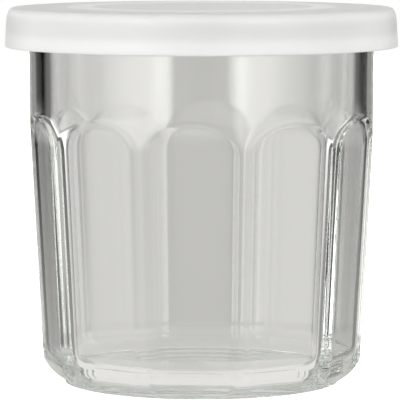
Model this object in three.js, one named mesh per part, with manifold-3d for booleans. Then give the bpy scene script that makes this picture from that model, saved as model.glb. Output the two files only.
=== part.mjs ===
// Pressed-glass storage jar with ten arched panels and a white snap lid.
// Millimetres, +Z up. The origin is the middle of the circle the foot stands on,
// and one of the ten panels faces -Y.
import * as THREE from "three";
import { mergeVertices } from "three/addons/utils/BufferGeometryUtils.js";
import Module from "manifold-3d";

const degree = Math.PI / 180;
const jarSides = 80; // sides of the jar's turned surfaces
const lidSides = 60;
const arcSteps = 2; // each rounded corner of a profile has twice as many steps
const mergeTolerance = 1e-4;

// Jar, outside: a nearly straight neck over a body that tapers towards a rounded heel
const neckRadius = 42.25;
const neckTopRadius = 42.35; // where the flare under the finish begins
const shoulderZ = 60.7; // the taper starts below this height
const taper = 0.054; // radius lost per millimetre of height, about three degrees
const heelZ = 6.2;
const heelRadius = neckRadius - taper * (shoulderZ - heelZ);
const heelReach = 7; // the heel's curve, across and down
const heelDrop = 6.2;
const heelFullness = 1.5; // 2 would be an ellipse, 1 a straight bevel
const heelSteps = 8;

// Panels: flats between ten ribs, each with an arch where it runs out at the neck
const panelCount = 10;
const ribHalfAngle = 2.3 * degree;
const panelRatio = Math.cos(Math.PI / panelCount - ribHalfAngle);
const archStartZ = 59.5;
const archRadius = 18.5; // radius of the run-out at the top of a panel
const archRise = 7.5; // how far up the run-out is followed
const archSteps = 6;
const archRingZ = 67.4; // the neck is plain above this height
const panelFullZ = 5.5; // below this height the flats grow shallower, towards the foot
const panelFootShare = 0.55; // the part of their depth that is left there
const panelWidth = 26; // wider than a panel, as each cutter leaves the glass by itself
const cutterReach = 5;

// Foot: a resting ring under a slightly hollow base
const footOuter = 34.1;
const footEdge = 32.6; // the ring rests on the flat between these two radii
const footInner = 30.2;
const footTopZ = 0.4;
const hollowRadius = 28.8;
const hollowZ = 0.9;
const hollowTopZ = 1.3;

// Jar, inside
const boreRadius = 37.3;
const boreTopRadius = 37.7;
const floorZ = 4.6;
const floorDish = 0.3; // the floor is lower in the middle
const floorFillet = 5.5;
const flatFilletStart = 0.2 - 0.5 * Math.PI; // a flat's own fillet starts clear of the floor
const flatFootDistance = 27; // its cutter starts here, sunk below the floor
const flatFootZ = 4;
const mouthClearance = 1; // how far the bore's cutter stands above the rim

// Finish: the bead that the lid snaps over, and the flare that leads up to it
const flareZ = 82.4;
const flareRadius = 3.4;
const flareAngle = 72 * degree;
const beadRadius = 46.5;
const beadFootZ = 86;
const beadRound = 1.6;
const rimZ = 90.5;
const rimRound = 1.9;
const mouthRound = 1.6;

// Lid: a skirt, a rounded shoulder and a flat top with a slightly raised ring
const lidFootZ = 83;
const lidTopZ = 92.6;
const lidFootRadius = 48.35;
const lidShoulderRadius = 48.05;
const lidShoulderZ = 89.1;
const lidTopRadius = 46.5;
const lidShoulderLean = 0.15; // these three shape the curve over the shoulder
const lidShoulderDrop = 1.2;
const lidShoulderReach = 0.75;
const lidFootRound = 0.35;
const lidWall = 1.15;
const lidCeilingZ = 90.9;
const lidInnerRound = 1.1;
const gripRadius = 45.8; // the ring inside the skirt that catches under the bead
const gripLowZ = 83.8;
const gripHighZ = 85.6;
const gripLeadIn = 0.6;
const ringInner = 26.4; // raised ring on the top of the lid
const ringOuter = 34.0;
const ringHeight = 0.3;
const ringShoulder = 1.6;

const wasm = await Module();
wasm.setup();

// A closed mesh as a solid that can be joined and cut.
function solidOf(geometry) {
  const bare = geometry.clone();
  bare.deleteAttribute("normal");
  bare.deleteAttribute("uv");
  const merged = mergeVertices(bare, mergeTolerance);
  return new wasm.Manifold(
    new wasm.Mesh({
      numProp: 3,
      vertProperties: merged.attributes.position.array,
      triVerts: new Uint32Array(merged.index.array),
    }),
  );
}

// A solid back as a geometry with flat faces.
function geometryOf(solid) {
  const mesh = solid.getMesh();
  const geometry = new THREE.BufferGeometry();
  geometry.setAttribute("position", new THREE.BufferAttribute(mesh.vertProperties, 3));
  geometry.setIndex(new THREE.BufferAttribute(mesh.triVerts, 1));
  const flat = geometry.toNonIndexed();
  flat.computeVertexNormals();
  return flat;
}

// A profile of (radius, height) points turned about the Z axis.
function turned(points, sides) {
  const geometry = new THREE.LatheGeometry(points, sides);
  geometry.rotateX(Math.PI / 2);
  return geometry;
}

// Radius of the glass along a rib, from the foot to the neck.
function ribRadius(z) {
  if (z >= shoulderZ) return neckRadius;
  if (z >= heelZ) return heelRadius + taper * (z - heelZ);
  const drop = Math.min(1, (heelZ - z) / heelDrop);
  const reach = Math.pow(1 - Math.pow(drop, heelFullness), 1 / heelFullness);
  return heelRadius - heelReach * (1 - reach);
}

// Distance of a panel's flat from the axis between the foot and the arch.
function panelDistance(z) {
  const rise = Math.min(1, z / panelFullZ);
  const share = THREE.MathUtils.lerp(panelFootShare, 1, rise * (2 - rise));
  return ribRadius(z) * (1 - (1 - panelRatio) * share);
}

// Heights spread along the heel's curve, closer together where it turns most.
function heelHeights() {
  const heights = [];
  for (let i = 0; i < heelSteps; i++) {
    const angle = (i / heelSteps) * 0.5 * Math.PI;
    heights.push(heelZ - heelDrop * Math.cos(angle));
  }
  return heights.filter((z) => ribRadius(z) > footOuter);
}

function outerProfile() {
  const path = new THREE.Path();
  path.moveTo(0, hollowTopZ);
  path.lineTo(hollowRadius, hollowZ);
  path.lineTo(footInner, 0);
  path.lineTo(footEdge, 0);
  path.lineTo(footOuter, footTopZ);
  for (const z of heelHeights()) path.lineTo(ribRadius(z), z);
  path.lineTo(heelRadius, heelZ);
  path.lineTo(neckRadius, shoulderZ);
  const archRing = (archRingZ - shoulderZ) / (flareZ - shoulderZ);
  path.lineTo(THREE.MathUtils.lerp(neckRadius, neckTopRadius, archRing), archRingZ);
  path.lineTo(neckTopRadius, flareZ);
  const flareCentre = neckTopRadius + flareRadius;
  path.absarc(flareCentre, flareZ, flareRadius, Math.PI, Math.PI - flareAngle, true);
  path.absarc(beadRadius - beadRound, beadFootZ + beadRound, beadRound, -0.5 * Math.PI, 0, false);
  path.absarc(beadRadius - rimRound, rimZ - rimRound, rimRound, 0, 0.5 * Math.PI, false);
  path.lineTo(0, rimZ);
  return path.getPoints(arcSteps);
}

function boreProfile() {
  const lowRadius = boreRadius - taper * (shoulderZ - floorZ - floorFillet);
  const filletCentre = lowRadius - floorFillet;
  const path = new THREE.Path();
  path.moveTo(0, floorZ - floorDish);
  path.lineTo(filletCentre, floorZ);
  path.absarc(filletCentre, floorZ + floorFillet, floorFillet, -0.5 * Math.PI, -taper, false);
  path.lineTo(boreRadius, shoulderZ);
  path.lineTo(boreTopRadius, rimZ - mouthRound);
  const mouthRadius = boreTopRadius + mouthRound;
  path.absarc(mouthRadius, rimZ - mouthRound, mouthRound, Math.PI, 0.5 * Math.PI, true);
  path.lineTo(mouthRadius, rimZ + mouthClearance);
  path.lineTo(0, rimZ + mouthClearance);
  return path.getPoints(arcSteps);
}

// The top of a flat: it curves outwards, and where it leaves the round neck it draws the arch.
function addRunOut(shape, start) {
  shape.lineTo(start, archStartZ);
  for (let i = 1; i <= archSteps; i++) {
    const rise = (i / archSteps) * archRise;
    const runOut = archRadius - Math.sqrt(archRadius * archRadius - rise * rise);
    shape.lineTo(start + taper * panelRatio * rise + runOut, archStartZ + rise);
  }
}

// What lies beyond one flat, along +X, from an outline that ends at the top of the flat.
function flatCutter(shape, footZ) {
  shape.lineTo(neckRadius + cutterReach, archStartZ + archRise);
  shape.lineTo(neckRadius + cutterReach, footZ);
  const geometry = new THREE.ExtrudeGeometry(shape, {
    depth: panelWidth,
    bevelEnabled: false,
    curveSegments: arcSteps,
  });
  geometry.rotateX(Math.PI / 2);
  geometry.translate(0, panelWidth / 2, 0);
  return geometry;
}

function outerCutter() {
  const shape = new THREE.Shape();
  shape.moveTo(footOuter, footTopZ);
  for (const z of heelHeights()) shape.lineTo(panelDistance(z), z);
  shape.lineTo(panelDistance(heelZ), heelZ);
  addRunOut(shape, panelDistance(archStartZ));
  return flatCutter(shape, footTopZ);
}

// The inside follows the panels, so each flat there has a fillet to the floor and an arch too.
function innerCutter() {
  const lowRadius = boreRadius - taper * (shoulderZ - floorZ - floorFillet);
  const filletDistance = (lowRadius - floorFillet) * panelRatio;
  const filletWidth = floorFillet * panelRatio;
  const shape = new THREE.Shape();
  shape.moveTo(flatFootDistance, flatFootZ);
  shape.lineTo(
    filletDistance + filletWidth * Math.cos(flatFilletStart),
    floorZ + floorFillet + floorFillet * Math.sin(flatFilletStart),
  );
  shape.absellipse(
    filletDistance,
    floorZ + floorFillet,
    filletWidth,
    floorFillet,
    flatFilletStart,
    -taper,
    false,
  );
  addRunOut(shape, (boreRadius - taper * (shoulderZ - archStartZ)) * panelRatio);
  return flatCutter(shape, flatFootZ);
}

// The solid with a flat cut all round for each panel.
function withFlats(solid, cutter) {
  for (let i = 0; i < panelCount; i++) {
    const angle = -0.5 * Math.PI + (i * 2 * Math.PI) / panelCount;
    solid = solid.subtract(solidOf(cutter.clone().rotateZ(angle)));
  }
  return solid;
}

function jarMesh() {
  const blank = withFlats(solidOf(turned(outerProfile(), jarSides)), outerCutter());
  const bore = withFlats(solidOf(turned(boreProfile(), jarSides)), innerCutter());
  const glass = blank.subtract(bore);
  const material = new THREE.MeshStandardMaterial({
    color: 0xd3dad6,
    roughness: 0.05,
    metalness: 0,
    transparent: true,
    opacity: 0.35,
  });
  const mesh = new THREE.Mesh(geometryOf(glass), material);
  mesh.name = "jar";
  return mesh;
}

function lidProfile() {
  const path = new THREE.Path();
  const innerRadius = lidShoulderRadius - lidWall;
  const innerCentre = innerRadius - lidInnerRound;
  path.moveTo(0, lidCeilingZ);
  path.lineTo(innerCentre, lidCeilingZ);
  path.absarc(innerCentre, lidCeilingZ - lidInnerRound, lidInnerRound, 0.5 * Math.PI, 0, true);
  path.lineTo(innerRadius, gripHighZ + innerRadius - gripRadius);
  path.lineTo(gripRadius, gripHighZ);
  path.lineTo(gripRadius, gripLowZ);
  path.lineTo(gripRadius + gripLeadIn, lidFootZ);
  const footCentre = lidFootRadius - lidFootRound;
  path.absarc(footCentre, lidFootZ + lidFootRound, lidFootRound, -0.5 * Math.PI, 0, false);
  path.lineTo(lidShoulderRadius, lidShoulderZ);
  path.bezierCurveTo(
    lidShoulderRadius - lidShoulderLean,
    lidTopZ - lidShoulderDrop,
    lidTopRadius + lidShoulderReach,
    lidTopZ,
    lidTopRadius,
    lidTopZ,
  );
  path.lineTo(ringOuter, lidTopZ);
  path.lineTo(ringOuter - ringShoulder, lidTopZ + ringHeight);
  path.lineTo(ringInner + ringShoulder, lidTopZ + ringHeight);
  path.lineTo(ringInner, lidTopZ);
  path.lineTo(0, lidTopZ);
  return path.getPoints(arcSteps);
}

function lidMesh() {
  const material = new THREE.MeshStandardMaterial({
    color: 0xe8e8e6,
    roughness: 0.45,
    metalness: 0,
  });
  const mesh = new THREE.Mesh(turned(lidProfile(), lidSides), material);
  mesh.name = "lid";
  return mesh;
}

const storageJar = new THREE.Group();
storageJar.add(jarMesh());
storageJar.add(lidMesh());

export default storageJar;
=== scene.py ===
import math

import bpy
from mathutils import Euler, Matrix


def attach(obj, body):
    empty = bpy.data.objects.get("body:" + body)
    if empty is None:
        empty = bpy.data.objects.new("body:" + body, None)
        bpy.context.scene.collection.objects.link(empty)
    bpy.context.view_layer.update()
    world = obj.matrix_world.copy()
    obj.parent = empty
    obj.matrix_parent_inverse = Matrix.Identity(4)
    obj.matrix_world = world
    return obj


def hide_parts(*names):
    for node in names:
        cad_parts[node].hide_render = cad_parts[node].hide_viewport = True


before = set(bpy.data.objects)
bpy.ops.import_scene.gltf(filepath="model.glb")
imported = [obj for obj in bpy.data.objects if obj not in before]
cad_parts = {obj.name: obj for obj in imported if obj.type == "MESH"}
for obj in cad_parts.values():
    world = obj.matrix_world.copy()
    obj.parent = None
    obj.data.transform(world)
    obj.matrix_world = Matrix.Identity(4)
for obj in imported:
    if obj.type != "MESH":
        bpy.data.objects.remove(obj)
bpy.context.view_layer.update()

mm = 0.001
fullTurn = 2 * math.pi


# One sRGB hex colour as the linear colour that Blender's sockets hold.
def linearColour(code):
    shades = []
    for start in (1, 3, 5):
        value = int(code[start:start + 2], 16) / 255
        shades.append(value / 12.92 if value <= 0.04045 else ((value + 0.055) / 1.055) ** 2.4)
    return (*shades, 1.0)


# Adds one node: settings are its properties, links its inputs, each a value or another node's socket.
def addNode(tree, kind, settings=None, links=None):
    node = tree.nodes.new(kind)
    for name, value in (settings or {}).items():
        setattr(node, name, value)
    for key, value in (links or {}).items():
        if isinstance(value, bpy.types.NodeSocket):
            tree.links.new(value, node.inputs[key])
        else:
            node.inputs[key].default_value = value
    return node


def newMaterial(name):
    material = bpy.data.materials.new(name)
    material.use_nodes = True
    material.node_tree.nodes.clear()
    return material, material.node_tree


# Points evenly spread from one value to another, both ends included.
def spread(low, high, count):
    return [low + (high - low) * i / (count - 1) for i in range(count)]


# A quarter or other arc of a profile, angles in degrees.
def arcPoints(centreR, centreZ, radius, startAngle, endAngle, count):
    angles = [math.radians(a) for a in spread(startAngle, endAngle, count)]
    return [(centreR + radius * math.cos(a), centreZ + radius * math.sin(a)) for a in angles]


# A mesh turned about Z from rows of (radius, height) in millimetres. The first and last rows are
# single points on the axis. A row may also be a function of the column's angle.
def turnedMesh(name, rows, angles):
    points, rings, faces = [], [], []
    for row in rows:
        if not callable(row) and row[0] == 0:
            rings.append([len(points)])
            points.append((0, 0, row[1] * mm))
            continue
        rings.append(list(range(len(points), len(points) + len(angles))))
        for angle in angles:
            radius, height = row(angle) if callable(row) else row
            points.append((radius * mm * math.sin(angle), -radius * mm * math.cos(angle), height * mm))
    for low, high in zip(rings, rings[1:]):
        for i in range(len(angles)):
            j = (i + 1) % len(angles)
            if len(low) == 1:
                faces.append((low[0], high[j], high[i]))
            elif len(high) == 1:
                faces.append((low[i], low[j], high[0]))
            else:
                faces.append((low[i], low[j], high[j], high[i]))
    mesh = bpy.data.meshes.new(name)
    mesh.from_pydata(points, [], faces)
    mesh.shade_smooth()
    mesh.update()
    return mesh, rings


# The jar. Lengths are in millimetres, angles in degrees.

jar = {
    "neckRadius": 42.25,
    "neckTopRadius": 42.35,
    "shoulderZ": 60.7,
    "taper": 0.054,  # radius lost for each mm down from the neck
    "heelZ": 6.2,
    "heelReach": 7.0,
    "heelDrop": 6.2,
    "heelFullness": 1.5,  # 1 is a straight slope, 2 a quarter of an ellipse
    "panels": 10,
    "ribHalfAngle": 2.3,  # half the plain strip between two panels
    "ribRound": 0.24,  # softens the edges of the flats outside
    "archStartZ": 59.5,
    "archRadius": 18.5,
    "archRise": 7.5,
    "archRound": 0.15,
    "archRingZ": 67.4,  # the neck is plain above this
    "panelFullZ": 5.5,  # the flats fade out below this
    "panelFootShare": 0.55,  # what is left of a flat's depth at the foot
    "footOuter": 34.1,
    "footTopZ": 0.4,
    # (radius, height) from the hollow's edge over the resting ring to the heel
    "footProfile": [(29.3, 0.62), (29.75, 0.28), (30.2, 0.08), (30.7, 0.0), (31.4, 0.0), (32.1, 0.0),
                    (32.7, 0.03), (33.3, 0.12), (33.8, 0.27), (34.1, 0.42)],
    "heelStartZ": 0.62,
    "hollowRadius": 28.8,
    "hollowZ": 0.9,
    "hollowTopZ": 1.3,
    "knurls": 96,
    "knurlHeight": 0.3,
    "knurlRadius": 31.6,
    "knurlReach": 1.9,  # the knurls fade out this far from their middle
    "boreRadius": 37.3,
    "boreRound": 0.5,  # softens them more inside
    "boreTopRadius": 37.7,
    "floorZ": 4.6,
    "floorDish": 0.3,
    "floorFillet": 5.5,
    "flareZ": 82.4,
    "flareRadius": 3.4,
    "flareAngle": 72.0,
    "beadRadius": 46.5,
    "beadFootZ": 86.0,
    "beadRound": 1.6,
    "rimZ": 90.5,
    "rimRound": 1.9,
    "mouthRound": 1.6,
    "middleRadius": 3.0,  # first ring of points round the axis
    "plainTop": 2.4,  # plain rows end this far below the arches
    "archLead": 1.6,  # rows begin to bend this far below them
    "archOffsets": (0.09, 0.18, 0.28, 0.42, 0.6),  # rows either side of an arch's edge
    "archShares": (0.2, 0.45, 0.7, 1),  # rows from there to the plain neck, as parts of the way
    "crowdAngle": 13.4,  # columns lie close together from here to the rib
    "openColumns": 10,
    "ribColumns": 15,
}
panelRatio = math.cos(math.radians(180 / jar["panels"] - jar["ribHalfAngle"]))
noPanel = 1000.0  # a flat this far out never cuts the glass
slack = 0.1  # a point this close to a level counts as on it


# Radius of the glass along a rib.
def ribRadius(z):
    heelRadius = jar["neckRadius"] - jar["taper"] * (jar["shoulderZ"] - jar["heelZ"])
    if z >= jar["shoulderZ"]:
        rise = min(1, (z - jar["shoulderZ"]) / (jar["flareZ"] - jar["shoulderZ"]))
        return jar["neckRadius"] + (jar["neckTopRadius"] - jar["neckRadius"]) * rise
    if z >= jar["heelZ"]:
        return heelRadius + jar["taper"] * (z - jar["heelZ"])
    drop = min(1, (jar["heelZ"] - z) / jar["heelDrop"])
    reach = (1 - drop ** jar["heelFullness"]) ** (1 / jar["heelFullness"])
    return heelRadius - jar["heelReach"] * (1 - reach)


# Radius of the bore along a rib, from the floor's fillet to the mouth.
def boreRadius(z):
    if z >= jar["shoulderZ"]:
        rise = min(1, (z - jar["shoulderZ"]) / (jar["rimZ"] - jar["mouthRound"] - jar["shoulderZ"]))
        return jar["boreRadius"] + (jar["boreTopRadius"] - jar["boreRadius"]) * rise
    filletTop = jar["floorZ"] + jar["floorFillet"]
    if z >= filletTop:
        return jar["boreRadius"] - jar["taper"] * (jar["shoulderZ"] - z)
    lowRadius = jar["boreRadius"] - jar["taper"] * (jar["shoulderZ"] - filletTop)
    reach = math.sqrt(max(0, jar["floorFillet"] ** 2 - (filletTop - z) ** 2))
    return lowRadius - jar["floorFillet"] + reach


# Distance of a flat from the axis above the arch's start, where it curves outwards.
def runOut(start, z):
    rise = z - jar["archStartZ"]
    curve = jar["archRadius"] - math.sqrt(jar["archRadius"] ** 2 - rise ** 2)
    return start + jar["taper"] * panelRatio * rise + curve


# Distance of a panel's flat from the axis, outside.
def panelDistance(z):
    if z < jar["footTopZ"] or z > jar["archRingZ"]:
        return noPanel
    if z > jar["archStartZ"]:
        return runOut(ribRadius(jar["archStartZ"]) * panelRatio, z)
    rise = min(1, z / jar["panelFullZ"])
    share = jar["panelFootShare"] + (1 - jar["panelFootShare"]) * rise * (2 - rise)
    return ribRadius(z) * (1 - (1 - panelRatio) * share)


# The same inside, where the glass follows the panels.
def boreDistance(z):
    if z > jar["archRingZ"]:
        return noPanel
    if z > jar["archStartZ"]:
        return runOut(boreRadius(jar["archStartZ"]) * panelRatio, z)
    return boreRadius(z) * panelRatio


# Height at which a flat leaves the round neck in the column at this angle from the panel's middle.
def archHeight(angle, radiusAt, distanceAt):
    low, high = jar["archStartZ"], jar["archStartZ"] + jar["archRise"]
    if distanceAt(low) / math.cos(angle) >= radiusAt(low):
        return low
    for halving in range(30):
        middle = (low + high) / 2
        if distanceAt(middle) / math.cos(angle) < radiusAt(middle):
            low = middle
        else:
            high = middle
    return low


# Columns lie closer together at the ribs, whose edges are the sharpest lines of the jar.
def jarColumns():
    sector = math.radians(180 / jar["panels"])
    crowded = math.radians(jar["crowdAngle"])
    half = spread(0, crowded, jar["openColumns"])[:-1] + spread(crowded, sector, jar["ribColumns"])
    columns = []
    for panel in range(jar["panels"]):
        middle = fullTurn * panel / jar["panels"]
        columns += [middle - a for a in reversed(half[1:])]
        columns += [middle + a for a in half[:-1]]
    return columns


# Rows between the plain body and the plain neck. They bend with the arch, so its edge lies along one.
def archRows(radiusAt, distanceAt):
    low, high, offsets = jar["archStartZ"] - jar["archLead"], jar["archRingZ"], jar["archOffsets"]
    margin = offsets[-1]
    sector = math.radians(360 / jar["panels"])

    def slid(part, share):
        def place(angle):
            fromMiddle = (angle + sector / 2) % sector - sector / 2
            crossing = archHeight(fromMiddle, radiusAt, distanceAt)
            if part == "below":
                z = low + (crossing - margin - low) * share
            elif part == "above":
                z = crossing + margin + (high - crossing - margin) * share
            else:
                z = crossing + share
            return (radiusAt(z), z)
        return place

    rows = [slid("below", share) for share in spread(0, 0.8, 5)]
    rows += [slid("edge", -offset) for offset in reversed(offsets)]
    rows += [slid("edge", offset) for offset in (0, *offsets)]
    rows += [slid("above", share) for share in jar["archShares"]]
    return rows


def jarRows():
    hollow, dome = jar["hollowRadius"], jar["hollowTopZ"] - jar["hollowZ"]
    rows = [(0, jar["hollowTopZ"])]
    for radius in spread(jar["middleRadius"], hollow, 9):
        rows.append((radius, jar["hollowTopZ"] - dome * (radius / hollow) ** 2))
    rows += jar["footProfile"]
    for z in spread(jar["heelStartZ"], jar["heelZ"], 24):
        if ribRadius(z) > jar["footOuter"]:
            rows.append((ribRadius(z), z))
    bodyTop = jar["archStartZ"] - jar["plainTop"]
    for z in spread(jar["heelZ"], bodyTop, 22)[1:]:
        rows.append((ribRadius(z), z))
    rows += archRows(ribRadius, panelDistance)
    for z in spread(jar["archRingZ"], jar["flareZ"], 8)[1:]:
        rows.append((ribRadius(z), z))
    flareCentre = jar["neckTopRadius"] + jar["flareRadius"]
    flareEnd = 180 - jar["flareAngle"]
    rows += arcPoints(flareCentre, jar["flareZ"], jar["flareRadius"], 180, flareEnd, 10)[1:]
    beadCentre = jar["beadRadius"] - jar["beadRound"]
    rows += arcPoints(beadCentre, jar["beadFootZ"] + jar["beadRound"], jar["beadRound"], -88, 0, 7)
    rimCentre = jar["beadRadius"] - jar["rimRound"]
    rows += arcPoints(rimCentre, jar["rimZ"] - jar["rimRound"], jar["rimRound"], 0, 90, 8)
    mouthCentre = jar["boreTopRadius"] + jar["mouthRound"]
    rows += arcPoints(mouthCentre, jar["rimZ"] - jar["mouthRound"], jar["mouthRound"], 90, 180, 8)
    for z in spread(jar["rimZ"] - jar["mouthRound"], jar["archRingZ"], 6)[1:-1]:
        rows.append((boreRadius(z), z))
    rows += reversed(archRows(boreRadius, boreDistance))
    filletTop = jar["floorZ"] + jar["floorFillet"]
    for z in spread(bodyTop, filletTop, 14)[:-1]:
        rows.append((boreRadius(z), z))
    filletRadius = boreRadius(filletTop) - jar["floorFillet"]
    rows += arcPoints(filletRadius, filletTop, jar["floorFillet"], 0, -90, 18)
    for radius in spread(filletRadius, jar["middleRadius"], 9)[1:]:
        rows.append((radius, jar["floorZ"] - jar["floorDish"] * (1 - (radius / filletRadius) ** 2)))
    rows.append((0, jar["floorZ"] - jar["floorDish"]))
    return rows


# The press: cuts the flats into the turned blank and knurls the ring it rests on.
# Its inputs are lengths in metres.
def pressTree(material):
    tree = bpy.data.node_groups.new("jarPress", "GeometryNodeTree")
    face = tree.interface
    face.new_socket("Blank", in_out="INPUT", socket_type="NodeSocketGeometry")
    for name in ("Panels", "Rib rounding", "Bore rounding", "Arch rounding", "Arch start", "Arch rise",
                 "Knurls", "Knurl height"):
        face.new_socket(name, in_out="INPUT", socket_type="NodeSocketFloat")
    face.new_socket("Glass", in_out="OUTPUT", socket_type="NodeSocketGeometry")
    size = addNode(tree, "NodeGroupInput").outputs

    def maths(operation, first, second=0.0, third=0.0):
        links = {0: first, 1: second, 2: third}
        return addNode(tree, "ShaderNodeMath", {"operation": operation}, links).outputs[0]

    def stored(name):
        kind = {"data_type": "FLOAT"}
        return addNode(tree, "GeometryNodeInputNamedAttribute", kind, {"Name": name}).outputs[0]

    position = addNode(tree, "GeometryNodeInputPosition").outputs[0]
    x, y, z = addNode(tree, "ShaderNodeSeparateXYZ", None, {0: position}).outputs
    angle = maths("ARCTAN2", x, maths("MULTIPLY", y, -1.0))
    sector = maths("DIVIDE", math.pi, size["Panels"])
    fromMiddle = maths("WRAP", angle, sector, maths("MULTIPLY", sector, -1.0))
    radius = maths("SQRT", maths("ADD", maths("MULTIPLY", x, x), maths("MULTIPLY", y, y)))
    cut = maths("DIVIDE", stored("panelFlat"), maths("COSINE", fromMiddle))
    climb = maths("DIVIDE", maths("SUBTRACT", z, size["Arch start"]), size["Arch rise"])
    climb = maths("POWER", maths("MAXIMUM", climb, 0.0), 2.0)
    rounding = maths("MULTIPLY_ADD", climb, size["Arch rounding"], size["Rib rounding"])
    rounding = maths("MULTIPLY_ADD", stored("inside"), size["Bore rounding"], rounding)
    share = maths("DIVIDE", maths("SMOOTH_MIN", radius, cut, rounding), radius)
    wave = maths("MULTIPLY_ADD", maths("COSINE", maths("MULTIPLY", angle, size["Knurls"])), -0.5, 0.5)
    lift = maths("MULTIPLY", maths("MULTIPLY", stored("knurl"), wave), size["Knurl height"])
    moved = addNode(tree, "ShaderNodeCombineXYZ", None, {
        0: maths("MULTIPLY", x, share), 1: maths("MULTIPLY", y, share), 2: maths("ADD", z, lift)})
    press = addNode(tree, "GeometryNodeSetPosition", None,
                    {"Geometry": size["Blank"], "Position": moved.outputs[0]})
    real = addNode(tree, "GeometryNodeRealizeInstances", None, {"Geometry": press.outputs[0]})
    dressed = addNode(tree, "GeometryNodeSetMaterial", None,
                      {"Geometry": real.outputs[0], "Material": material})
    addNode(tree, "NodeGroupOutput", None, {0: dressed.outputs[0]})
    return tree


def makeJar(material):
    mesh, rings = turnedMesh("jarBlank", jarRows(), jarColumns())
    flat = mesh.attributes.new("panelFlat", "FLOAT", "POINT")
    knurl = mesh.attributes.new("knurl", "FLOAT", "POINT")
    inside = mesh.attributes.new("inside", "FLOAT", "POINT")
    filletRadius = boreRadius(jar["floorZ"])
    outside = True  # the rows run up the outside to the rim, then down the bore
    for ring in rings:
        for point in ring:
            place = mesh.vertices[point].co
            height, radius = place.z / mm, math.hypot(place.x, place.y) / mm
            if height > jar["flareZ"]:
                outside = False
            distance = noPanel
            if outside and radius > jar["footOuter"] - slack:
                distance = panelDistance(height)
            elif not outside and radius > filletRadius - slack:
                distance = boreDistance(height)
            flat.data[point].value = distance * mm
            inside.data[point].value = 0 if outside else 1
            onRing = outside and height < jar["footTopZ"] + slack
            fromRing = abs(radius - jar["knurlRadius"]) / jar["knurlReach"]
            knurl.data[point].value = max(0, 1 - fromRing) if onRing else 0
    blank = bpy.data.objects.new("jarBlank", mesh)
    bpy.context.scene.collection.objects.link(blank)
    tree = pressTree(material)
    values = {
        "Panels": float(jar["panels"]),
        "Rib rounding": jar["ribRound"] * mm,
        "Bore rounding": jar["boreRound"] * mm,
        "Arch rounding": jar["archRound"] * mm,
        "Arch start": jar["archStartZ"] * mm,
        "Arch rise": jar["archRise"] * mm,
        "Knurls": float(jar["knurls"]),
        "Knurl height": jar["knurlHeight"] * mm,
    }
    press = blank.modifiers.new("press", "NODES")
    press.node_group = tree
    for item in tree.interface.items_tree:
        if item.in_out == "INPUT" and item.name in values:
            press[item.identifier] = values[item.name]
    return plainCopy(blank, "jarGlass")


# The evaluated object as a plain mesh of its own; the object it came from goes.
def plainCopy(source, name):
    graph = bpy.context.evaluated_depsgraph_get()
    mesh = bpy.data.meshes.new_from_object(
        source.evaluated_get(graph), preserve_all_data_layers=True, depsgraph=graph)
    mesh.name = name
    bpy.data.objects.remove(source)
    piece = bpy.data.objects.new(name, mesh)
    bpy.context.scene.collection.objects.link(piece)
    return piece


# The lid. Lengths are in millimetres.

lid = {
    "footZ": 83.0,
    "topZ": 92.6,
    "footRadius": 48.35,
    "shoulderRadius": 48.05,
    "shoulderZ": 89.1,
    "topRadius": 46.5,
    "footRound": 0.35,
    "wall": 1.15,
    "ceilingZ": 90.9,
    "innerRound": 1.1,
    "gripRadius": 45.8,  # the ring that snaps under the jar's bead
    "gripLowZ": 83.8,
    "gripHighZ": 85.6,
    "gripLeadIn": 0.6,
    "gripBlend": 0.5,  # how softly the wall runs into that ring
    "gripEase": 0.1,
    "gripCurl": 0.4,
    "gripBulge": 0.05,
    "gripFootLift": 0.08,
    "wallEndZ": 88.6,
    "wallTurn": 1.6,
    "skirtFootZ": 83.5,
    "shoulderLean": 0.15,
    "shoulderDrop": 1.2,
    "shoulderReach": 0.75,
    "ringInner": 26.4,
    "ringOuter": 34.0,
    "ringHeight": 0.3,
    "ringShoulder": 1.6,  # width of the slope at the raised ring's edges
    "middleRadius": 5.0,  # first ring of points round the axis underneath
    "topMiddleRadius": 2.0,  # and on top
    "columns": 240,
}


# A cubic curve from a to d, drawn towards b and c, for the soft turns of the lid.
def softTurn(a, b, c, d, count):
    points = []
    for t in spread(0, 1, count):
        weights = ((1 - t) ** 3, 3 * t * (1 - t) ** 2, 3 * t * t * (1 - t), t ** 3)
        points.append(tuple(sum(w * p[i] for w, p in zip(weights, (a, b, c, d))) for i in (0, 1)))
    return points


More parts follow.
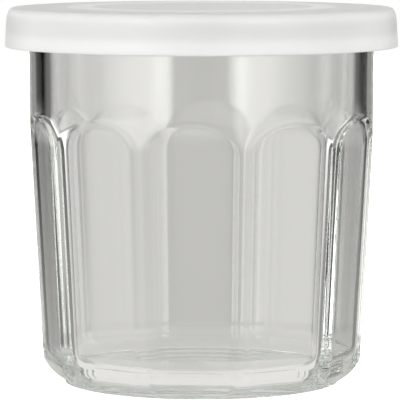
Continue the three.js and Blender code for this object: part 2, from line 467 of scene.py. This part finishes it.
# Underside from the axis outwards, down the wall and the grip ring, round the foot, and up the
# skirt over the shoulder to the top with its raised ring.
def lidRows():
    inner = lid["shoulderRadius"] - lid["wall"]
    roundCentre, ceiling = inner - lid["innerRound"], lid["ceilingZ"]
    grip, gripHigh, gripLow = lid["gripRadius"], lid["gripHighZ"], lid["gripLowZ"]
    foot, top, blend, ease = lid["footZ"], lid["topZ"], lid["gripBlend"], lid["gripEase"]
    rows = [(0, ceiling)]
    rows += [(radius, ceiling) for radius in spread(lid["middleRadius"], roundCentre - blend, 8)]
    rows += arcPoints(roundCentre, ceiling - lid["innerRound"], lid["innerRound"], 90, 0, 7)
    rows += softTurn((inner, lid["wallEndZ"]), (inner, lid["wallEndZ"] - lid["wallTurn"]),
                     (grip + blend, gripHigh + inner - grip - blend), (grip + ease, gripHigh + ease), 8)
    bulge = grip - lid["gripBulge"]
    rows += softTurn((grip, gripHigh), (bulge, gripHigh - lid["gripCurl"]),
                     (bulge, gripLow + lid["gripCurl"]), (grip, gripLow), 6)
    leadIn, footRound = lid["gripLeadIn"], lid["footRound"]
    rows += [(grip + leadIn / 2, (gripLow + foot) / 2), (grip + leadIn, foot + lid["gripFootLift"])]
    rows.append((grip + leadIn * 1.5, foot))
    rows += arcPoints(lid["footRadius"] - footRound, foot + footRound, footRound, -90, 0, 6)
    for t in spread(0, 1, 9):
        radius = lid["footRadius"] + (lid["shoulderRadius"] - lid["footRadius"]) * t
        rows.append((radius, lid["skirtFootZ"] + (lid["shoulderZ"] - lid["skirtFootZ"]) * t))
    rows += softTurn((lid["shoulderRadius"], lid["shoulderZ"]),
                     (lid["shoulderRadius"] - lid["shoulderLean"], top - lid["shoulderDrop"]),
                     (lid["topRadius"] + lid["shoulderReach"], top), (lid["topRadius"], top), 16)[1:]
    rows += [(radius, top) for radius in spread(lid["topRadius"], lid["ringOuter"], 7)[1:]]
    run, rise = lid["ringShoulder"], lid["ringHeight"]
    for t in spread(0, 1, 7)[1:]:
        rows.append((lid["ringOuter"] - run * t, top + rise * t * t * (3 - 2 * t)))
    ringTop = spread(lid["ringOuter"] - run, lid["ringInner"] + run, 4)
    rows += [(radius, top + rise) for radius in ringTop[1:-1]]
    for t in spread(1, 0, 7):
        rows.append((lid["ringInner"] + run * t, top + rise * t * t * (3 - 2 * t)))
    rows += [(radius, top) for radius in spread(lid["ringInner"], lid["topMiddleRadius"], 9)[1:]]
    rows.append((0, top))
    return rows


def makeLid(material):
    angles = [fullTurn * i / lid["columns"] for i in range(lid["columns"])]
    mesh, rings = turnedMesh("lidSkin", lidRows(), angles)
    mesh.materials.append(material)
    piece = bpy.data.objects.new("lidCap", mesh)
    bpy.context.scene.collection.objects.link(piece)
    return piece


# The materials. Lengths are in millimetres.

glassLook = {
    "tint": "#FFFFFF",
    "ior": 1.52,
    "roughness": 0.0,
    "depthTint": "#E6EEE8",
    "depthDensity": 4.5,
    "waveLength": 9.0,
    "waveDepth": 0.006,
    "bounces": 40,  # light that is caught in the thick glass turns many corners
}


# Pressed soda-lime glass, fire polished: clear, faintly grey-green through its thickness, with
# slow waves left by the mould that bend what is seen through it.
def pressedSodaLimeGlass():
    look = glassLook
    material, tree = newMaterial("pressedSodaLimeGlass")
    place = addNode(tree, "ShaderNodeTexCoord").outputs["Object"]
    waves = addNode(tree, "ShaderNodeTexNoise", None, {
        "Vector": place, "Scale": 1 / (look["waveLength"] * mm), "Detail": 1.5, "Roughness": 0.4})
    bend = addNode(tree, "ShaderNodeBump", None,
                   {"Height": waves.outputs["Fac"], "Strength": 1.0, "Distance": look["waveDepth"] * mm})
    glass = addNode(tree, "ShaderNodeBsdfPrincipled", None, {
        "Base Color": linearColour(look["tint"]),
        "Roughness": look["roughness"],
        "IOR": look["ior"],
        "Transmission Weight": 1.0,
        "Normal": bend.outputs[0],
    })
    passing = addNode(tree, "ShaderNodeBsdfTransparent", None, {"Color": linearColour(look["tint"])})
    ray = addNode(tree, "ShaderNodeLightPath")
    mix = addNode(tree, "ShaderNodeMixShader", None,
                  {0: ray.outputs["Is Shadow Ray"], 1: glass.outputs[0], 2: passing.outputs[0]})
    depth = addNode(tree, "ShaderNodeVolumeAbsorption", None,
                    {"Color": linearColour(look["depthTint"]), "Density": look["depthDensity"]})
    addNode(tree, "ShaderNodeOutputMaterial", None,
            {"Surface": mix.outputs[0], "Volume": depth.outputs[0]})
    return material


lidLook = {
    "colour": "#E5E7EA",
    # painted light: the grip-ring band and the raised ring on top are drawn this much whiter
    "paintedLightColour": "#EEF0F3",
    # painted shade: the top is drawn this grey, where less light falls
    "paintedShadeColour": "#C2C4C6",
    "topStartZ": 91.7,
    "topSoft": 0.9,
    "bandTopZ": 86.4,
    "bandSoft": 1.0,
    "ringInner": 27.2,
    "ringOuter": 33.2,
    "ringSoft": 0.7,
    # how much painted light the raised ring on top gets
    "ringPaintedLight": 0.45,
    "roughness": 0.38,
    "scatter": 1.0,
    "scatterLength": 6.0,
    "scatterByColour": (1.0, 1.0, 0.95),
    "grain": 0.35,  # the real satin is too fine to show, so it is drawn this coarse
    "grainDepth": 0.006,
    "satin": 0.6,
    "cloudLength": 16.667,
    "cloudDepth": 0.025,
    "ior": 1.51,
}


# Low-density polyethylene, injection moulded: milky, light passes into it, with a soft waxy gloss
# and the fine satin of the mould. Its colour is painted whiter at the grip ring round the foot and at
# the raised ring on top, as painted light for light through the thicker plastic, and greyer on the top,
# as painted shade where less light falls.
def mouldedPolyethylene():
    look = lidLook
    material, tree = newMaterial("mouldedPolyethylene")
    place = addNode(tree, "ShaderNodeTexCoord").outputs["Object"]
    x, y, height = addNode(tree, "ShaderNodeSeparateXYZ", None, {0: place}).outputs

    def maths(operation, first, second=0.0):
        return addNode(tree, "ShaderNodeMath", {"operation": operation}, {0: first, 1: second}).outputs[0]

    # 0 before the given length and 1 beyond it, with a soft edge, in millimetres
    def beyond(value, edge, soft):
        return addNode(tree, "ShaderNodeMapRange", {"interpolation_type": "SMOOTHSTEP"}, {
            "Value": value, "From Min": (edge - soft) * mm, "From Max": (edge + soft) * mm}).outputs[0]

    radius = maths("SQRT", maths("ADD", maths("MULTIPLY", x, x), maths("MULTIPLY", y, y)))
    ring = maths("SUBTRACT", beyond(radius, look["ringInner"], look["ringSoft"]),
                 beyond(radius, look["ringOuter"], look["ringSoft"]))
    # painted light: the band below bandTopZ, round the grip ring, is drawn whiter
    band = maths("SUBTRACT", 1.0, beyond(height, look["bandTopZ"], look["bandSoft"]))
    # painted light on the raised ring on top
    ringLightShare = maths("MULTIPLY", ring, look["ringPaintedLight"])
    paintedLight = maths("MAXIMUM", band, ringLightShare)
    # painted shade: the top is drawn greyer from topStartZ up, except on the raised ring
    onTop = beyond(height, look["topStartZ"], look["topSoft"])
    paintedShade = maths("MULTIPLY", onTop, maths("SUBTRACT", 1.0, ringLightShare))
    clouds = addNode(tree, "ShaderNodeTexNoise", None,
                     {"Vector": place, "Scale": 1 / (look["cloudLength"] * mm), "Detail": 2.0})
    # the milky colour with the painted light of the band and the ring mixed in
    milkyWithPaintedLight = addNode(tree, "ShaderNodeMix", {"data_type": "RGBA"}, {
        0: paintedLight, 6: linearColour(look["colour"]), 7: linearColour(look["paintedLightColour"])})
    shell = addNode(tree, "ShaderNodeMix", {"data_type": "RGBA"}, {
        0: paintedShade, 6: milkyWithPaintedLight.outputs[2], 7: linearColour(look["paintedShadeColour"])})
    cloudy = addNode(tree, "ShaderNodeMapRange", None,
                     {"Value": clouds.outputs["Fac"], "To Min": 1 - look["cloudDepth"], "To Max": 1.0})
    colour = addNode(tree, "ShaderNodeVectorMath", {"operation": "SCALE"},
                     {0: shell.outputs[2], "Scale": cloudy.outputs[0]})
    grain = addNode(tree, "ShaderNodeTexNoise", None,
                    {"Vector": place, "Scale": 1 / (look["grain"] * mm), "Detail": 2.0})
    satin = addNode(tree, "ShaderNodeBump", None, {
        "Height": grain.outputs["Fac"], "Strength": look["satin"], "Distance": look["grainDepth"] * mm})
    plastic = addNode(tree, "ShaderNodeBsdfPrincipled", None, {
        "Base Color": colour.outputs[0],
        "Roughness": look["roughness"],
        "IOR": look["ior"],
        "Subsurface Weight": look["scatter"],
        "Subsurface Radius": look["scatterByColour"],
        "Subsurface Scale": look["scatterLength"] * mm,
        "Normal": satin.outputs[0],
    })
    addNode(tree, "ShaderNodeOutputMaterial", None, {"Surface": plastic.outputs[0]})
    return material


# The studio.

# Angles are in degrees. The lights are stops of (angle round the jar from the camera's side, level):
# where a softbox begins, is brightest or ends. Levels are linear, 1 being the paper's white.
studio = {
    "turn": 3.5,  # the sky faces the camera
    "paper": "#FFFEFA",
    "lightsLeft": [(0, 0.05), (19, 0.06), (22, 1.9), (30, 3.1), (39, 2.3), (50, 2.6), (62, 2.0),
                   (78, 1.2), (92, 0.9), (101, 0.5), (113, 1.8), (126, 1.2), (131, 0.0), (157, 0.0),
                   (161, 0.3), (170, 0.5), (180, 0.6)],
    "lightsRight": [(0, 0.05), (7, 0.1), (9, 0.3), (20, 0.4), (25, 2.3), (29, 2.7), (38, 1.7), (48, 1.6),
                    (60, 1.1), (76, 0.9), (84, 0.5), (104, 0.8), (118, 1.6), (127, 1.1), (133, 0.3),
                    (137, 0.0), (157, 0.0), (161, 0.35), (180, 0.6)],
    "paperLevels": [(0, 0.3), (20, 0.35), (35, 0.8), (110, 0.8), (125, 0.25), (155, 0.25), (162, 0.58),
                    (180, 0.58)],
    "nearPaper": 0.78,  # the paper beside the foot, seen below nearPaperEdge
    "nearPaperEdge": -32.0,
    "nearPaperSoft": 8.0,
    "paperEdge": -7.5,  # paperLevels show below this, the lights above it
    "paperSoft": 2.5,
    "ceilingEdge": 6.0,  # no light is darker than ceilingGrey above this
    "ceilingSoft": 4.0,
    "ceilingGrey": 0.62,
    "rightLift": 0.3,  # the right lights are this much brighter there
    "boxTop": 50.0,  # the softboxes end here, and topGrey begins
    "boxSoft": 8.0,
    "topGrey": 0.8,
    "brightest": 4.0,  # a colour ramp holds levels up to 1, so they are stored as parts of this
    "floor": "#F2F2F0",
    "floorGlow": 0.8,
    "floorHalf": 1.6,
    "floorDrop": 0.0001,
}


# The studio as a sky: softboxes either side of the camera with a dark gap between them, a pale
# backdrop behind the jar, and a dark room beyond. Straight to the camera all of it is white paper.
def studioSky():
    s = studio
    world = bpy.data.worlds.new("studio")
    bpy.context.scene.world = world
    world.use_nodes = True
    tree = world.node_tree
    tree.nodes.clear()

    def maths(operation, first, second=0.0, third=0.0):
        links = {0: first, 1: second, 2: third}
        return addNode(tree, "ShaderNodeMath", {"operation": operation}, links).outputs[0]

    # 0 below the given value and 1 above it, with a soft edge
    def above(value, edge, soft):
        return addNode(tree, "ShaderNodeMapRange", {"interpolation_type": "SMOOTHSTEP"},
                       {"Value": value, "From Min": edge - soft, "From Max": edge + soft}).outputs[0]

    def over(base, mask, level):
        mix = addNode(tree, "ShaderNodeMix", {"data_type": "FLOAT"}, {0: mask, 2: base, 3: level})
        return mix.outputs[0]

    def lights(angle, stops):
        ramp = addNode(tree, "ShaderNodeValToRGB", None, {0: maths("DIVIDE", angle, 180.0)})
        places = ramp.color_ramp.elements
        places[0].position, places[1].position = stops[0][0] / 180, stops[-1][0] / 180
        for stop in stops[1:-1]:
            places.new(stop[0] / 180)
        for place, stop in zip(places, stops):
            grey = stop[1] / s["brightest"]
            place.color = (grey, grey, grey, 1)
        return maths("MULTIPLY", ramp.outputs[0], s["brightest"])

    way = addNode(tree, "ShaderNodeTexCoord").outputs["Generated"]
    turned = addNode(tree, "ShaderNodeVectorRotate", {"rotation_type": "Z_AXIS"},
                     {"Vector": way, "Angle": math.radians(-s["turn"])}).outputs[0]
    x, y, z = addNode(tree, "ShaderNodeSeparateXYZ", None, {0: turned}).outputs
    angle = maths("DEGREES", maths("ARCTAN2", maths("ABSOLUTE", x), maths("MULTIPLY", y, -1.0)))
    height = maths("DEGREES", maths("ARCSINE", z))
    onRight = maths("GREATER_THAN", x, 0.0)
    level = over(lights(angle, s["lightsLeft"]), onRight, lights(angle, s["lightsRight"]))
    high = above(height, s["ceilingEdge"], s["ceilingSoft"])
    lift = maths("MULTIPLY_ADD", maths("MULTIPLY", high, onRight), s["rightLift"], 1.0)
    level = maths("MAXIMUM", maths("MULTIPLY", level, lift), maths("MULTIPLY", high, s["ceilingGrey"]))
    level = over(lights(angle, s["paperLevels"]), above(height, s["paperEdge"], s["paperSoft"]), level)
    level = over(s["nearPaper"], above(height, s["nearPaperEdge"], s["nearPaperSoft"]), level)
    level = over(level, above(height, s["boxTop"], s["boxSoft"]), s["topGrey"])
    pale = addNode(tree, "ShaderNodeVectorMath", {"operation": "SCALE"},
                   {0: linearColour(s["paper"])[:3], "Scale": level})
    ray = addNode(tree, "ShaderNodeLightPath")
    seen = addNode(tree, "ShaderNodeMix", {"data_type": "RGBA"},
                   {0: ray.outputs["Is Camera Ray"], 6: pale.outputs[0], 7: (1.0, 1.0, 1.0, 1.0)})
    sky = addNode(tree, "ShaderNodeBackground", None, {"Color": seen.outputs[2], "Strength": 1.0})
    addNode(tree, "ShaderNodeOutputWorld", None, {"Surface": sky.outputs[0]})


# A wide pale floor, which the camera sees lit up to white. What the glass sees of it is in the sky.
def studioFloor():
    mesh = bpy.data.meshes.new("floor")
    half = studio["floorHalf"]
    corners = [(-half, -half, 0), (half, -half, 0), (half, half, 0), (-half, half, 0)]
    mesh.from_pydata(corners, [], [(0, 1, 2, 3)])
    floor = bpy.data.objects.new("floor", mesh)
    bpy.context.scene.collection.objects.link(floor)
    floor.location.z = -studio["floorDrop"]
    material, tree = newMaterial("paperSweep")
    paper = addNode(tree, "ShaderNodeBsdfDiffuse", None, {"Color": linearColour(studio["floor"])})
    glow = addNode(tree, "ShaderNodeEmission", None, {"Strength": studio["floorGlow"]})
    white = addNode(tree, "ShaderNodeAddShader", None, {0: paper.outputs[0], 1: glow.outputs[0]})
    unseen = addNode(tree, "ShaderNodeBsdfTransparent")
    ray = addNode(tree, "ShaderNodeLightPath")
    mix = addNode(tree, "ShaderNodeMixShader", None,
                  {0: ray.outputs["Is Camera Ray"], 1: unseen.outputs[0], 2: white.outputs[0]})
    addNode(tree, "ShaderNodeOutputMaterial", None, {"Surface": mix.outputs[0]})
    mesh.materials.append(material)


# The camera stands where the photograph was taken from. Lengths are in millimetres, angles in degrees.
cameraPlace = {
    "distance": 857.0,
    "height": 124.35,
    "azimuth": 3.5,
    "down": 5.292,
    "aside": 0.0247,
    "lens": 313.2,
    "filmWidth": 36.0,
    "nearest": 50.0,
    "farthest": 20000.0,
}


def makeCamera():
    c = cameraPlace
    data = bpy.data.cameras.new("camera")
    data.lens = c["lens"]
    data.sensor_width = c["filmWidth"]
    data.clip_start = c["nearest"] * mm
    data.clip_end = c["farthest"] * mm
    camera = bpy.data.objects.new("camera", data)
    bpy.context.scene.collection.objects.link(camera)
    azimuth = math.radians(c["azimuth"])
    camera.location = (c["distance"] * mm * math.sin(azimuth), -c["distance"] * mm * math.cos(azimuth),
                       c["height"] * mm)
    tilt = math.radians(90 - c["down"])
    camera.rotation_euler = Euler((tilt, 0, azimuth + math.radians(c["aside"])))
    bpy.context.scene.camera = camera


glass = pressedSodaLimeGlass()
plastic = mouldedPolyethylene()
print("materials ready")

jarPiece = makeJar(glass)
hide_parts("jar")
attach(jarPiece, "root")
print("jar pressed:", len(jarPiece.data.polygons), "faces")

lidPiece = makeLid(plastic)
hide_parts("lid")
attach(lidPiece, "root")
print("lid moulded:", len(lidPiece.data.polygons), "faces")

studioSky()
studioFloor()
makeCamera()
bpy.context.scene.view_settings.view_transform = "Standard"
paths = bpy.context.scene.cycles
paths.max_bounces = glassLook["bounces"]
paths.glossy_bounces = glassLook["bounces"]
paths.transmission_bounces = glassLook["bounces"]
paths.transparent_max_bounces = glassLook["bounces"]
print("studio ready")
